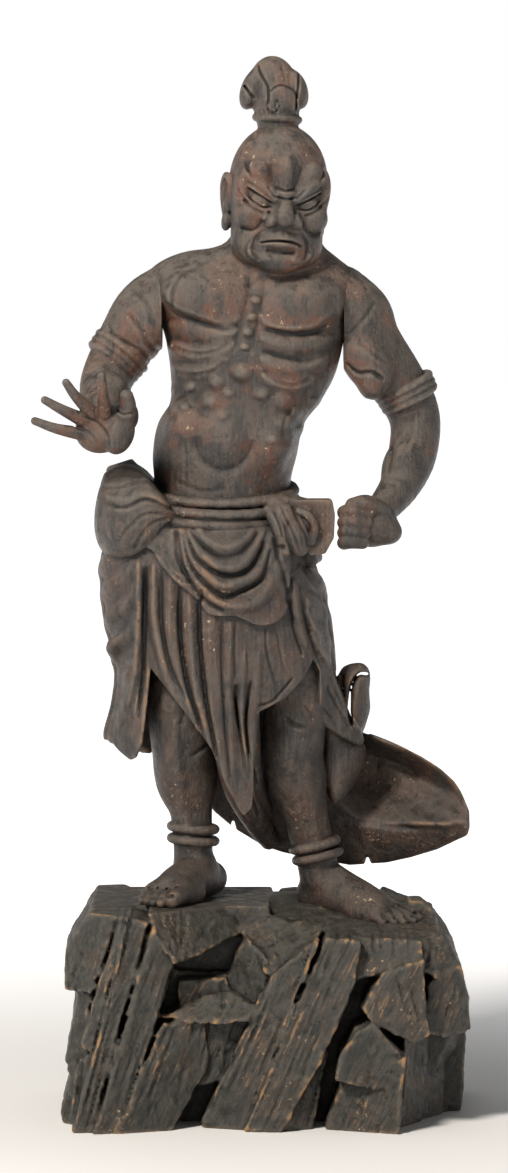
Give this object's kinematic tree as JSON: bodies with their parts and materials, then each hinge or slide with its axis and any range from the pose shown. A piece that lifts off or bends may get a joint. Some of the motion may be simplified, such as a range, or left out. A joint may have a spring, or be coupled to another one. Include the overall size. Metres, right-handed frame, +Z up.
{
  "type": "nio guardian statue",
  "caption": "Carved wooden temple guardian figure with topknot, bare muscled torso, open hand, fist at the hip, folded skirt and blown cloth tail, on a rock-shaped plinth.",
  "frame": {"origin": "underside of the plinth, under the middle of the whole statue's bounding box", "axes": "+Z up, the statue faces -Y, +X at the viewer's right"},
  "size_m": [0.4378, 0.2908, 1.055],
  "materials": {
    "lacquered_wood": "worn dark lacquer, satin, with grey dust and red-brown remnants",
    "painted_rock_wood": "worn dark lacquer over carved wood with bare edges, matt"
  },
  "bodies": {
    "root": {"figure": "lacquered_wood", "right_arm": "lacquered_wood", "left_arm": "lacquered_wood", "rock_plinth": "painted_rock_wood"}
  },
  "joints": []
}
